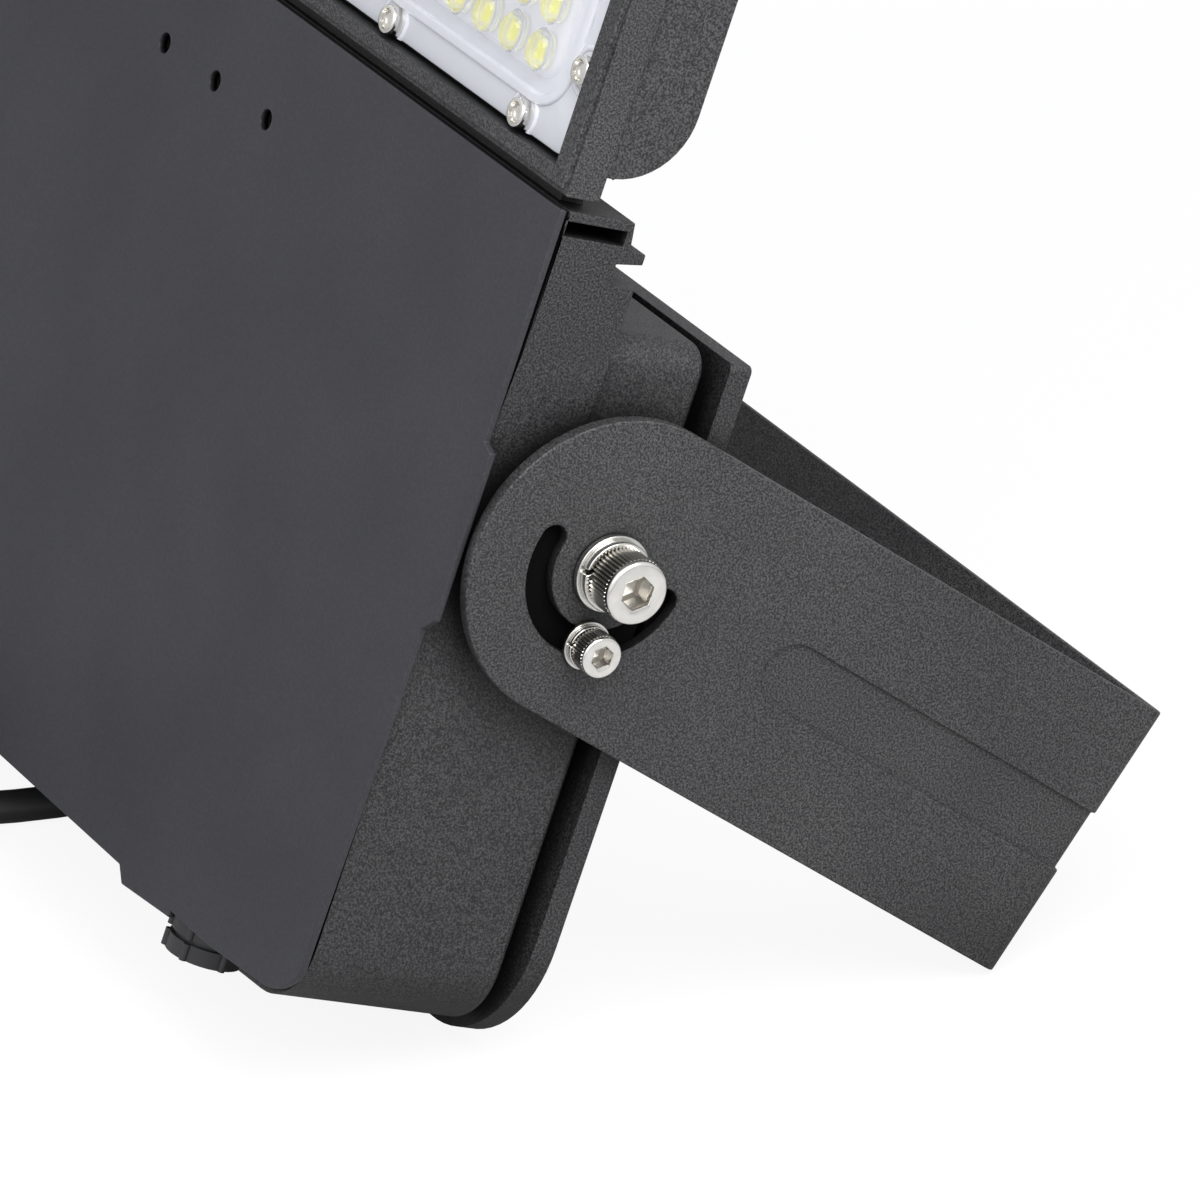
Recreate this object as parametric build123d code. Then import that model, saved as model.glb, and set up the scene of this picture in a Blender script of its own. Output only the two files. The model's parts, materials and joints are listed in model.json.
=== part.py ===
from build123d import *
import math
import os

# Sizes are in millimetres. Each piece is drawn in the lamp's own frame: X is the width, Y runs
# from the driver end to the light end, Z stands out of the light face, and the hinge lies on X.
# stand() then leans the lamp back until it stands on its casing's edge and its bracket's edge.

# Clearances
joint_gap = 0.1
pivot_play = 0.08
sweep_gap = 0.5
loose_fit = 0.3
washer_fit = 0.4
thread_end = 1.0
hole_skin = 1.0

# Bracket, folded from steel strip
strip = 3.0
arm_half = 31.0
arm_room = 5.5
reach = 137.5
bend_radius = 4.5
tilt = 17.6
slot_radius = 15.25
slot_width = 5.7
slot_turn = 180.0
bead_width = 13.5
bead_start = 44.6
bead_depth = 0.8
bead_on_web = 34.0
mount_hole = 13.0
side_hole = 9.0
side_pitch = 76.2

# Screws: thread, head width, head height, key size
pivot_size = (8.0, 13.3, 8.0, 6.0)
lock_size = (5.0, 8.7, 5.0, 4.0)
lens_size = (3.0, 5.5, 1.8, 2.0)
box_size = (4.0, 7.0, 4.0, 3.0)
socket_share = 0.55

# Washers: width, thickness
pivot_flat = (16.0, 1.6)
pivot_spring = (14.6, 2.0)
lock_flat = (10.0, 1.0)
lock_spring = (9.0, 1.2)
spring_cut = 25.0
pivot_depth = 20.0
lock_depth = 14.0

# Driver box, die cast
sheet = 1.5
box_half = 131.0
overhang = 2.5
box_low = -107.0
box_end = 44.0
wall = 4.5
floor_level = -16.0
flange = 5.0
flange_corner = 27.0
flange_top = 43.2
neck_height = 3.5
neck_round = 2.0
flange_round = 1.5
end_round = 6.0
neck_inset = 7.0
boss_size = 27.0
boss_depth = 24.0
seal_width = 2.0
seal_depth = 1.5
bridge_end = 67.4
bridge_low = 11.2
bridge_skin = 1.9
bridge_nose = ((67.4, 15.8), (63.1, 15.1), (61.6, 14.4), (61.6, 11.2))
bridge_notch = ((59.4, 11.2), (58.7, 17.0), (54.6, 16.4), (54.2, 11.2))
channel_start = 49.0
channel_end = 57.0
lip_start = 38.7
ramp_start = 8.0
lip_groove = (3.0, 14.0)
lip_groove_middle = (63.9, 23.8)
groove_depth = 18.0
tongue = (24.0, 29.3)
column_size = 5.5
column_inset = 13.0
column_rows = (-72.0, 32.0)
bush_length = 6.0
bush_size = 4.0
notch_width = 26.0
notch_depth = 9.5
notch_top = -4.0

# Cover plate
cover_gap = 0.6
tab_out = 5.8
tab_edges = (-16.1, 18.6)
tab_ramp = 3.0
tab_end = 1.2
taper_rows = (-95.0, -88.0)
end_middle = 105.0
end_side = 101.6
end_corner = 15.0
seat_inset = 74.0
seat_slope = 3.0
seat_level = 102.0
seat_end_inset = 24.0
plug_inset = 51.0
spare_hole = 4.2
spare_pitch = 22.9
spare_row = 45.5
spare_deep = 8.0

# Light casting
light_start = 70.0
light_length = 270.0
rim = (6.0, 4.3)
rim_top = 33.6
rim_edge = 32.6
rim_lip = 1.2
rim_step = 25.2
pocket_floor = 26.7
side_step = 2.5
fin_start = 4.4
fin_low = 8.0
fin_root = 22.0
fin_thick = 2.4
fin_count = 19
fin_round = 15.0
joint_level = 25.2
joint_grip = 10.0
joint_places = (-80.0, -27.0, 27.0, 80.0)

# Light pieces
board_thick = 1.6
board_margin = 13.0
lens_seat = 28.8
lens_thick = 2.2
lens_margin = 1.0
lens_inner = 12.0
lens_round = 4.0
lens_wall = 1.0
dome_height = 1.8
lens_skin = 2.8
screw_end = 25.7
screws_in_row = 5
screw_row = 8.0
screw_side = 9.2
screw_first = 22.5
screw_pitch_y = 56.5
lens_thread = 6.0
lens_seal = 3.0
ledge_width = 7.0

# Driver and terminals
driver_case = (196.0, 66.0, 36.0)
driver_row = -14.0
foot_length = 14.0
foot_thick = 3.0
foot_share = 0.5
case_round = 3.0
terminal = (42.0, 16.0, 15.0)
terminal_row = -78.0
terminal_ways = 3
way_size = 5.2
way_depth = 4.0
wire_size = 3.8
wire_level = 5.2

# Gland and plug
gland_inset = 45.0
gland_row = -72.0
gland_thread = 16.0
gland_hex = 22.0
gland_base = 6.0
gland_nut = 17.0
gland_short = 4.0
gland_dome = 7.6
dome_round = 5.0
dome_inset = 0.5
gland_locknut = 5.0
gland_wall = 2.0
plug_level = 22.2
plug_size = 17.4
plug_bore = 11.0
plug_flange = 3.0
plug_cap = 3.5
plug_neck = 1.0
plug_rib = 1.6
plug_ribs = 6
neck_share = 0.4
plug_seal = 1.0

# Cord
cord_size = 7.0
cord_x = -9.0
exit_inside = 14.0
exit_outside = 42.0
run_share = 0.45
core_size = 2.2
core_length = 46.0
core_straight = 0.4
core_fan = 0.45
core_drop = 1.5
core_round = 12.0
coil_radius = 41.0
coil_quarters = 10
coil_pitch = 7.7
coil_nudge = 0.02
tie_width = 4.5
tie_thick = 1.2
tie_quarter = 3
tie_round = 3.0
tie_head = (4.0, 6.5, 5.0)


def turned(y, z, degrees):
    turn = math.radians(degrees)
    return (y * math.cos(turn) - z * math.sin(turn), y * math.sin(turn) + z * math.cos(turn))


low_end = (Align.CENTER, Align.CENTER, Align.MIN)
high_end = (Align.CENTER, Align.CENTER, Align.MAX)

# Levels and places that follow from the sizes above
box_top = arm_half + sweep_gap
cover_top = box_top + sheet
flange_back = floor_level - flange
neck_top = floor_level + neck_height
seal_size = cord_size + 2 * gland_wall
case_top = box_top - cover_gap
arm_inner = box_half + arm_room
case_half = box_half + overhang
tab_half = box_half + tab_out
seat_half = box_half - seat_inset
gland_x = gland_inset - box_half
plug_x = box_half - plug_inset
boss_face = arm_inner - joint_gap
plug_reach = plug_seal + plug_flange + plug_neck + plug_cap
arm_face = arm_inner + strip + joint_gap
light_end = light_start + light_length
spare_places = (-spare_pitch, 0, spare_pitch)
column_places = [(sign * (box_half - column_inset), y) for sign in (-1, 1) for y in column_rows]

# The lamp stands on its flange's edge and its bracket's far edge, and they set how far it leans
front_edge = (box_low, flange_back)
web_edge = turned(-arm_half, -reach, -tilt)
web_back = turned(arm_half, -reach, -tilt)
lean = math.degrees(math.atan2(front_edge[1] - web_edge[1], web_edge[0] - front_edge[0]))
hinge_height = -turned(*front_edge, lean)[1]
plug_front = turned(-seat_level - plug_reach, plug_level + plug_size / 2, lean)[0]
front_reach = min(turned(-end_middle, cover_top, lean)[0], plug_front)
fin_back = turned(light_end - fin_start - fin_round, fin_low + fin_round, lean)[0] + fin_round
back_reach = max(turned(*web_back, lean)[0], fin_back)
stand_shift = -(front_reach + back_reach) / 2


def put(place, shape):
    if isinstance(shape, list):
        return Compound(children=[place * piece for piece in shape])
    return place * shape


def stand(shape):
    return put(Pos(0, stand_shift, hinge_height) * Rot(lean, 0, 0), shape)


# The cord's route stands in the lamp's place, with Y from the hinge and Z from the floor
gland_mouth = turned(gland_row, flange_back, lean)
gland_y = gland_mouth[0]
gland_z = gland_mouth[1] + hinge_height
cord_radius = cord_size / 2
cord_level = cord_radius + joint_gap
coil_level = cord_radius + tie_thick + loose_fit
cord_route = (
    (-64, 54.6, 10.8), (-33, 57.1, cord_level), (-10.5, 34.1, cord_level), (-9, 2.1, cord_level),
    (-8.3, -54.4, cord_level), (-30, -95.9, cord_level), (-50.5, -130.9, coil_level))


def laid(shape):
    return put(Pos(0, stand_shift, 0), shape)


def side_solid(outline, half):
    return extrude(Plane.YZ * outline, half, both=True)


def mirrored(shape):
    return [shape, mirror(shape, about=Plane.YZ)]


# A screw along +X whose head seats on the plane X = 0: shank toward -X, head toward +X
def screw(size, length):
    thread, head, height, flats = size
    body = Pos(-length / 2, 0, 0) * Rot(0, 90, 0) * Cylinder(thread / 2, length)
    cap = Pos(height / 2, 0, 0) * Rot(0, 90, 0) * Cylinder(head / 2, height)
    key = RegularPolygon(flats / math.sqrt(3), 6)
    socket = extrude(Plane.YZ * key, height * socket_share)
    return body + cap - Pos(height * (1 - socket_share), 0, 0) * socket


def washer(outer, inner, thick):
    ring = Circle(outer / 2) - Circle(inner / 2)
    return extrude(Plane.YZ * ring, thick)


# A spring washer is cut through and its ends are set a little apart
def spring_washer(outer, inner, thick):
    gap = Pos(thick / 2, 0, outer / 2) * Rot(spring_cut, 0, 0) * Box(2 * thick, thick / 2, outer)
    return washer(outer, inner, thick) - gap


# Bracket, folded from strip, with its arms toward -Z before it is tilted
def folded(inset, inner, width):
    def outline(step):
        half = arm_inner + strip - step
        top = arm_half + strip
        box = Pos(0, (top - reach + step) / 2) * Rectangle(2 * half, top + reach - step)
        low = box.vertices().sort_by(Axis.Y)[:2]
        return fillet(low, bend_radius - step)

    return extrude(Plane.XZ * (outline(inset) - outline(inner)), width / 2, both=True)


# The stiffening bead starts on each arm, runs round the bend and ends on the web
def bead_zone(width):
    start = -bead_start - width / 2
    low = -reach - 2 * strip
    bar = Pos(0, (start + low) / 2) * Rectangle(width, start - low) + Pos(0, start) * Circle(width / 2)
    stop = arm_inner + strip - bead_on_web
    ends = Rectangle(2 * stop, width) - Pos(stop, 0) * Circle(width / 2)
    ends -= Pos(-stop, 0) * Circle(width / 2)
    return side_solid(bar, arm_inner + 2 * strip) - extrude(ends, 2 * reach, both=True)


def arm_holes():
    track = CenterArc((0, 0), slot_radius, 180 - slot_turn / 2, slot_turn)
    return Circle(pivot_size[0] / 2 + pivot_play) + SlotArc(track, slot_width)


def make_bracket():
    plate = folded(0, strip, 2 * arm_half)
    outline = Circle(arm_half) + Pos(0, -reach) * Rectangle(2 * arm_half, 2 * reach)
    plate &= side_solid(outline, arm_inner + 2 * strip)
    plate -= folded(-bead_depth, bead_depth, 2 * arm_half) & bead_zone(bead_width)
    plate += folded(strip, strip + bead_depth, 2 * arm_half) & bead_zone(bead_width - 2 * bead_depth)
    plate -= side_solid(arm_holes(), arm_inner + 2 * strip)
    for x, size in ((0, mount_hole), (-side_pitch, side_hole), (side_pitch, side_hole)):
        plate -= Pos(x, 0, -reach) * Cylinder(size / 2, 3 * strip)
    return Rot(-tilt, 0, 0) * plate


# Driver box. Its plan has shallow seats in the end wall for the mount and for the plug
def box_plan(half, seat_start):
    low = -end_side + half - box_half
    end = [(half, bridge_end), (half, low), (seat_half + seat_slope, -end_middle), (seat_half, -seat_level)]
    other = [(-x, y) for x, y in reversed(end)]
    plan = make_face(Polyline(*end, *other, close=True))
    plan = fillet([v for v in plan.vertices() if v.Y < box_low / 2 and abs(v.X) > half - 1], end_corner)
    seat_end = box_half - seat_end_inset
    seat = Rectangle(seat_end - seat_start, end_corner, align=(Align.MIN, Align.MAX))
    return plan - Pos(seat_start, -seat_level) * seat


def half_plane(low, high):
    return Pos(0, (low + high) / 2) * Rectangle(3 * case_half, high - low)


def slab(outline, low, high):
    return Pos(0, 0, low) * extrude(outline, high - low)


def cavity_plan(inset):
    plan = offset(low_plan(), -wall - inset, kind=Kind.INTERSECTION)
    around = 2 * (wall + inset)
    return plan - Pos(cord_x, box_low) * Rectangle(notch_width + around, 2 * notch_depth + around)


def low_plan():
    plan = box_plan(box_half, plug_x - plug_size / 2 - loose_fit) & half_plane(-2 * light_length, box_end)
    return fillet(plan.vertices().sort_by(Axis.Y)[-2:], end_round)


def rim_groove():
    outer = offset(low_plan(), -(wall - seal_width) / 2, kind=Kind.INTERSECTION)
    inner = offset(low_plan(), -(wall + seal_width) / 2, kind=Kind.INTERSECTION)
    return outer - inner


# The bridge reaches over to the light casting; this is its section, which shows at the side
def bridge_section():
    return make_face(Polyline((lip_start, case_top), (bridge_end, case_top), *bridge_nose, *bridge_notch,
                              (lip_start, bridge_low), close=True))


def flange_plan():
    plan = Pos(0, (flange_top + box_low) / 2) * Rectangle(2 * case_half, flange_top - box_low)
    plan = fillet(plan.vertices().sort_by(Axis.Y)[:2], flange_corner)
    plan = fillet(plan.vertices().sort_by(Axis.Y)[-2:], flange_round)
    return plan - Pos(cord_x, box_low) * Rectangle(notch_width, 2 * notch_depth)


def bosses():
    middle = boss_face - boss_depth / 2
    round_boss = Pos(middle, 0, 0) * Rot(0, 90, 0) * Cylinder(boss_size, boss_depth)
    return mirrored(round_boss & slab(half_plane(-boss_size, boss_size), neck_top, case_top))


def cast_body():
    upper = slab(low_plan(), neck_top, case_top)
    body = fillet(upper.edges().group_by(Axis.Z)[0], neck_round)
    body += slab(offset(low_plan(), -neck_inset, kind=Kind.INTERSECTION), floor_level, neck_top + neck_round)
    body += slab(flange_plan(), flange_back, floor_level)
    body += side_solid(bridge_section(), case_half)
    body += side_ramps()
    reach_y = light_start - channel_end
    bar = Pos(channel_end + reach_y / 2, sum(tongue) / 2) * Rectangle(reach_y, tongue[1] - tongue[0])
    body += side_solid(bar, box_half - wall)
    for block in bosses():
        body += block
    return body


# The bridge's wider side runs down into the box wall on a long slope
def side_ramps():
    ramp = make_face(Polyline((box_half, ramp_start), (case_half, lip_start), (box_half - wall, lip_start),
                              (box_half - wall, ramp_start), close=True))
    return mirrored(slab(ramp, bridge_low, case_top))


def cast_hollow():
    hollow = slab(cavity_plan(0), neck_top, case_top + wall)
    hollow += slab(cavity_plan(neck_inset), floor_level, neck_top)
    for block in bosses():
        hollow -= block
    for x, y in column_places:
        hollow -= Pos(x, y, 0) * Cylinder(column_size, 4 * box_top)
    return hollow


def column_cuts():
    cuts = []
    for x, y in column_places:
        seat = case_top - bush_length - loose_fit
        cuts.append(slab(Pos(x, y) * Circle(column_size + 1), seat, case_top + 1))
        cuts.append(slab(Pos(x, y) * Circle(box_size[0] / 2), flange_back - 1, case_top))
        cuts.append(slab(Pos(x, y) * Circle(box_size[1] / 2 + loose_fit), flange_back - 1, floor_level))
    return cuts


# The slot across the bridge lightens it, and a groove in each side leaves its hooked nose
def bridge_cuts():
    low = bridge_low - 1
    high = case_top - bridge_skin
    channel = Pos((channel_start + channel_end) / 2, (low + high) / 2) * Rectangle(
        channel_end - channel_start, high - low)
    side_groove = Pos(*lip_groove_middle) * Rectangle(*lip_groove)
    groove = Pos(case_half, 0, 0) * side_solid(side_groove, groove_depth)
    return [side_solid(channel, box_half - 3 * wall)] + mirrored(groove)


# Blind holes: two in each boss, the joint's row, the driver's feet and the spare row under the cover
def screw_cuts():
    cuts = []
    for size, y, depth in ((pivot_size, 0, pivot_depth), (lock_size, -slot_radius, lock_depth)):
        hole = Rot(0, 90, 0) * Cylinder(size[0] / 2, 2 * depth)
        cuts += mirrored(Pos(boss_face, y, 0) * hole)
    for x in joint_places:
        cuts.append(Pos(x, light_start, joint_level) * Rot(90, 0, 0) * Cylinder(
            box_size[0] / 2, 2 * (light_start - channel_end) + 2))
    for x, y in driver_screw_places():
        cuts.append(slab(Pos(x, y) * Circle(box_size[0] / 2), flange_back + hole_skin, floor_level + 1))
    for x in spare_places:
        cuts.append(slab(Pos(x, spare_row) * Circle(spare_hole / 2), case_top - spare_deep, case_top + 1))
    return cuts


def entry_cuts():
    gland_hole = Pos(gland_x, gland_row, floor_level) * Cylinder(gland_thread / 2, 3 * flange)
    plug_hole = Pos(plug_x, -seat_level, plug_level) * Rot(90, 0, 0) * Cylinder(plug_bore / 2, 4 * wall)
    notch = slab(Pos(cord_x, box_low) * Rectangle(notch_width, 2 * notch_depth), flange_back - 1, notch_top)
    return [gland_hole, plug_hole, notch]


def make_housing():
    body = cast_body() - cast_hollow()
    for cut in column_cuts() + bridge_cuts() + screw_cuts() + entry_cuts():
        body -= cut
    return body - slab(rim_groove(), case_top - seal_depth, case_top + 1)


def make_cover():
    plan = box_plan(case_half, plug_x + loose_fit)
    root = case_half - tab_end
    tab = make_face(Polyline(
        (root, tab_edges[0] - tab_ramp), (case_half, tab_edges[0] - tab_ramp), (tab_half, tab_edges[0]),
        (tab_half, tab_edges[1]), (case_half, tab_edges[1] + tab_end), (root, tab_edges[1] + tab_end),
        close=True))
    plan += tab
    plan += mirror(tab, about=Plane.YZ)
    near = tab_edges[0] - tab_ramp
    line = box_half + loose_fit
    taper = make_face(Polyline((tab_half, near), (case_half - loose_fit, near), (line, taper_rows[1]),
                               (line, taper_rows[0]), (tab_half, taper_rows[0]), close=True))
    plan -= taper
    plan -= mirror(taper, about=Plane.YZ)
    plate = slab(plan, box_top, cover_top)
    for x in spare_places:
        plate -= slab(Pos(x, spare_row) * Circle(spare_hole / 2), 0, cover_top + 1)
    for x, y in column_places:
        plate += slab(Pos(x, y) * Circle(bush_size), box_top - bush_length, box_top)
        plate -= slab(Pos(x, y) * Circle(box_size[0] / 2), 0, box_top)
    return plate


def make_cover_seal():
    return slab(rim_groove(), case_top - seal_depth, box_top)


def make_cover_screws():
    length = box_top - floor_level - thread_end
    one = Rot(0, 90, 0) * screw(box_size, length)
    return [Pos(x, y, floor_level) * one for x, y in column_places]


# Light casting: a tray with a stepped rim, and fins along Y on its back
def light_plan(x_inset, y_inset):
    middle = Pos(0, light_start + light_length / 2)
    return middle * Rectangle(2 * (case_half - x_inset), light_length - 2 * y_inset)


# A plan that is set in from the rim's inner wall
def tray_plan(inset):
    return light_plan(rim[0] + inset, rim[1] + inset)


def light_tray():
    tray = slab(light_plan(0, 0), rim_step, rim_edge)
    tray += slab(light_plan(rim_lip, rim_lip), rim_edge, rim_top)
    tray += slab(light_plan(side_step, fin_start), fin_root, rim_step)
    tray -= slab(tray_plan(0), lens_seat, rim_top + 1)
    return tray - slab(tray_plan(ledge_width), pocket_floor, rim_top)


def fin_solids():
    profile = Pos(light_start + light_length / 2, (fin_low + rim_step) / 2) * Rectangle(
        light_length - 2 * fin_start, rim_step - fin_low)
    profile = fillet(profile.vertices().sort_by(Axis.Y)[:2], fin_round)
    outer = case_half - side_step - fin_thick / 2
    places = [outer * (2 * n / (fin_count - 1) - 1) for n in range(fin_count)]
    return [Pos(x, 0, 0) * side_solid(profile, fin_thick / 2) for x in places]


def make_light():
    body = light_tray()
    for fin in fin_solids():
        body += fin
    for x in joint_places:
        body -= Pos(x, light_start, joint_level) * Rot(90, 0, 0) * Cylinder(box_size[0] / 2, 2 * joint_grip)
    for x, y in lens_screw_places():
        body -= slab(Pos(x, y) * Circle(lens_size[0] / 2), lens_seat - lens_thread, lens_seat + 1)
    return body


def lens_screw_places():
    far = case_half - screw_end
    row = [far * (2 * n / (screws_in_row - 1) - 1) for n in range(screws_in_row)]
    ends = [(x, y) for y in (light_start + screw_row, light_end - screw_row) for x in row]
    side = case_half - screw_side
    column = [light_start + screw_first + screw_pitch_y * n for n in range(screws_in_row)]
    return ends + [(x, y) for x in (-side, side) for y in column]


# Lens plate: a flange screwed to the casting round a raised field of small lenses
def make_lens():
    lens_top = lens_seat + lens_thick
    plate = slab(lens_plan(), lens_seat, lens_top)
    plate += slab(rounded(tray_plan(lens_inner), lens_round), lens_top, lens_top + dome_height)
    plate -= slab(rounded(tray_plan(lens_inner + lens_wall), lens_round - lens_wall), lens_seat - 1, lens_seat + lens_skin)
    for x, y in lens_screw_places():
        plate -= slab(Pos(x, y) * Circle(lens_size[0] / 2 + joint_gap), lens_seat - 1, rim_top)
    return plate


def rounded(plan, radius):
    return fillet(plan.vertices(), radius)


def lens_plan():
    return rounded(tray_plan(lens_margin), lens_round)


def make_lens_seal():
    outer = tray_plan(ledge_width + joint_gap)
    inner = tray_plan(ledge_width + joint_gap + lens_seal)
    return slab(outer - inner, pocket_floor, lens_seat)


def make_board():
    return slab(rounded(tray_plan(board_margin), lens_round - lens_wall), pocket_floor, pocket_floor + board_thick)


def make_lens_screws():
    length = lens_thick + lens_thread - thread_end
    one = Rot(0, -90, 0) * screw(lens_size, length)
    return [Pos(x, y, lens_seat + lens_thick) * one for x, y in lens_screw_places()]


# Joint screws pull the light casting against the driver box's tongue
def make_joint_screws():
    length = light_start - channel_end + joint_grip - thread_end
    one = Rot(0, 0, -90) * screw(box_size, length)
    return [Pos(x, channel_end, joint_level) * one for x in joint_places]


# Driver: a potted case on two feet, screwed to the floor of the box
def driver_screw_places():
    return [(sign * (driver_case[0] / 2 + foot_length / 2), driver_row) for sign in (-1, 1)]


def make_driver():
    case = Pos(0, driver_row, floor_level + driver_case[2] / 2) * Box(*driver_case)
    case = fillet(case.edges().filter_by(Axis.X), case_round)
    feet = Pos(0, driver_row, floor_level + foot_thick / 2) * Box(
        driver_case[0] + 2 * foot_length, driver_case[1] * foot_share, foot_thick)
    case += feet
    for x, y in driver_screw_places():
        case -= Pos(x, y, floor_level) * Cylinder(box_size[0] / 2 + joint_gap, 4 * foot_thick)
    return case


def make_driver_screws():
    one = Rot(0, -90, 0) * screw(box_size, foot_thick + flange - hole_skin - thread_end)
    return [Pos(x, y, floor_level + foot_thick) * one for x, y in driver_screw_places()]


# Terminal block with three ways
def make_terminal():
    block = Pos(0, terminal_row, floor_level + terminal[2] / 2) * Box(*terminal)
    pitch = terminal[0] / terminal_ways
    for n in range(terminal_ways):
        x = pitch * (n + 0.5) - terminal[0] / 2
        block -= Pos(x, terminal_row, floor_level + terminal[2]) * Cylinder(way_size / 2, 2 * way_depth)
        way = Rot(90, 0, 0) * Cylinder(wire_size / 2, terminal[1] + 1)
        block -= Pos(x, terminal_row, floor_level + wire_level) * way
    return block


# Gland through the floor of the box: body, seal, dome nut outside and a lock nut inside
def across(flats, length):
    return extrude(RegularPolygon(flats / math.sqrt(3), 6), length)


def gland_cut(size):
    return Cylinder(size / 2, 4 * (gland_base + gland_nut + flange + gland_locknut))


def make_gland():
    body = across(gland_hex, gland_base)
    body += Cylinder(gland_thread / 2, gland_base + gland_nut - gland_short, align=low_end)
    body += Cylinder(gland_thread / 2, flange + gland_locknut + thread_end, align=high_end)
    return at_gland(body - gland_cut(seal_size + 2 * joint_gap))


# The gland's own axis points out of the back of the box
def at_gland(shape):
    return Pos(gland_x, gland_row, flange_back) * Rot(180, 0, 0) * shape


def make_gland_seal():
    tube = Cylinder(seal_size / 2, gland_base + gland_nut - thread_end, align=low_end)
    return at_gland(tube - gland_cut(cord_size + 2 * joint_gap))


def make_gland_nut():
    start = gland_base + loose_fit
    flats = gland_nut - gland_dome
    nut = Pos(0, 0, start) * across(gland_hex, flats)
    dome = Pos(0, 0, start + flats) * Cylinder(gland_hex / 2 - dome_inset, gland_dome, align=low_end)
    nut += fillet(dome.edges().filter_by(GeomType.CIRCLE).sort_by(Axis.Z)[-1], dome_round)
    nut -= Cylinder(gland_thread / 2 + joint_gap, 2 * (gland_base + gland_nut - gland_short))
    return at_gland(nut - gland_cut(seal_size + 2 * joint_gap))


def make_gland_locknut():
    nut = Pos(0, 0, -flange - gland_locknut) * across(gland_hex, gland_locknut)
    return at_gland(nut - gland_cut(gland_thread + 2 * joint_gap))


# Blanking plug in the spare entry, a hexagon under a round cap
def at_plug(shape):
    return Pos(plug_x, -seat_level, plug_level) * Rot(90, 0, 0) * shape


def round_cap(low, high):
    cap = Pos(0, 0, low) * Cylinder(plug_size / 2 - plug_rib / 2, high - low, align=low_end)
    rib = Cylinder(plug_rib / 2, high - low, align=low_end)
    for n in range(plug_ribs):
        cap += Rot(0, 0, 360 * n / plug_ribs) * Pos((plug_size - plug_rib) / 2, 0, low) * rib
    return cap


def make_plug():
    head = round_cap(0, plug_flange)
    head += Cylinder(plug_size * neck_share, plug_reach - plug_seal, align=low_end)
    head += round_cap(plug_flange + plug_neck, plug_flange + plug_neck + plug_cap)
    head += Cylinder(plug_bore / 2 - joint_gap, wall + plug_cap, align=high_end)
    return at_plug(Pos(0, 0, plug_seal) * head)


def make_plug_seal():
    ring = Cylinder(plug_size / 2 - plug_rib, plug_seal, align=low_end) - Cylinder(plug_bore / 2, 3 * plug_seal)
    return at_plug(ring)


# Hinge and lock screws with their washers, one set on each arm
def both_sides(shape, y=0.0):
    return mirrored(Pos(arm_face, y, 0) * shape)


def stack(flat, spring, size, y, depth):
    length = flat[1] + spring[1] + arm_face - boss_face + depth - thread_end
    hole = size[0] + washer_fit
    flats = both_sides(washer(flat[0], hole, flat[1]), y)
    springs = both_sides(Pos(flat[1], 0, 0) * spring_washer(spring[0], hole, spring[1]), y)
    screws = both_sides(Pos(flat[1] + spring[1], 0, 0) * screw(size, length), y)
    return flats, springs, screws


pivot_flats, pivot_springs, pivot_screws = stack(pivot_flat, pivot_spring, pivot_size, 0, pivot_depth)
lock_flats, lock_springs, lock_screws = stack(lock_flat, lock_spring, lock_size, -slot_radius, lock_depth)


def radii_of(points):
    radii = []
    for before, here, after in zip(points, points[1:], points[2:]):
        a = Vector(*before) - Vector(*here)
        b = Vector(*after) - Vector(*here)
        turn = math.radians(180 - a.get_angle(b))
        radii.append(run_share * min(a.length, b.length) / math.tan(turn / 2))
    return radii


def tube_on(path, radius):
    return sweep(Plane(origin=path @ 0, z_dir=path % 0) * Circle(radius), path=path)


def cord_points():
    out_y = -turned(0, 1, lean)[0]
    out_z = -turned(0, 1, lean)[1]
    inside = (gland_x, gland_y - exit_inside * out_y, gland_z - exit_inside * out_z)
    drop = (gland_x, gland_y + exit_outside * out_y, gland_z + exit_outside * out_z)
    last = Vector(*cord_route[-1])
    short = last - (last - Vector(*cord_route[-2])).normalized() * loose_fit
    return [inside, drop] + list(cord_route[:-1]) + [tuple(short)]


def make_cord():
    points = cord_points()
    radii = radii_of(points)
    print("cord radii", [round(r) for r in radii])
    path = FilletPolyline(*points, radius=radii)
    print("cord length", round(path.length))
    return tube_on(path, cord_radius)


# The coil starts on the cord's last run and winds clockwise, in on the floor and out above
def coil_frame():
    start = Vector(*cord_route[-1])
    before = Vector(*cord_route[-2])
    heading = Vector(start.X - before.X, start.Y - before.Y, 0).normalized()
    centre = start + Vector(heading.Y, -heading.X, 0) * coil_radius
    angle = math.atan2(start.Y - centre.Y, start.X - centre.X)
    return centre, angle


def coil_point(quarter):
    centre, first = coil_frame()
    half = coil_quarters / 2
    step = coil_pitch / 4
    radius = coil_radius - step * (quarter if quarter < half else coil_quarters - quarter)
    rise = min(max((quarter - half + 1) / 2, 0), 1)
    angle = first - quarter * math.pi / 2
    lift = coil_pitch * (3 * rise ** 2 - 2 * rise ** 3)
    x = centre.X + radius * math.cos(angle)
    y = centre.Y + radius * math.sin(angle)
    return Vector(x, y, coil_level + lift)


def coil_direction(quarter):
    low = max(quarter - coil_nudge, 0)
    high = min(quarter + coil_nudge, coil_quarters)
    return (coil_point(high) - coil_point(low)).normalized()


def biarc(start, leave, end, arrive):
    across_it = end - start
    a = 2 * (1 - leave.dot(arrive))
    b = 2 * across_it.dot(leave + arrive)
    d = (-b + math.sqrt(b * b + 4 * a * across_it.dot(across_it))) / (2 * a)
    first = start + leave * d
    second = end - arrive * d
    middle = (first + second) * 0.5
    return [TangentArc(start, middle, tangent=leave), TangentArc(middle, end, tangent=second - first)]


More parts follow.
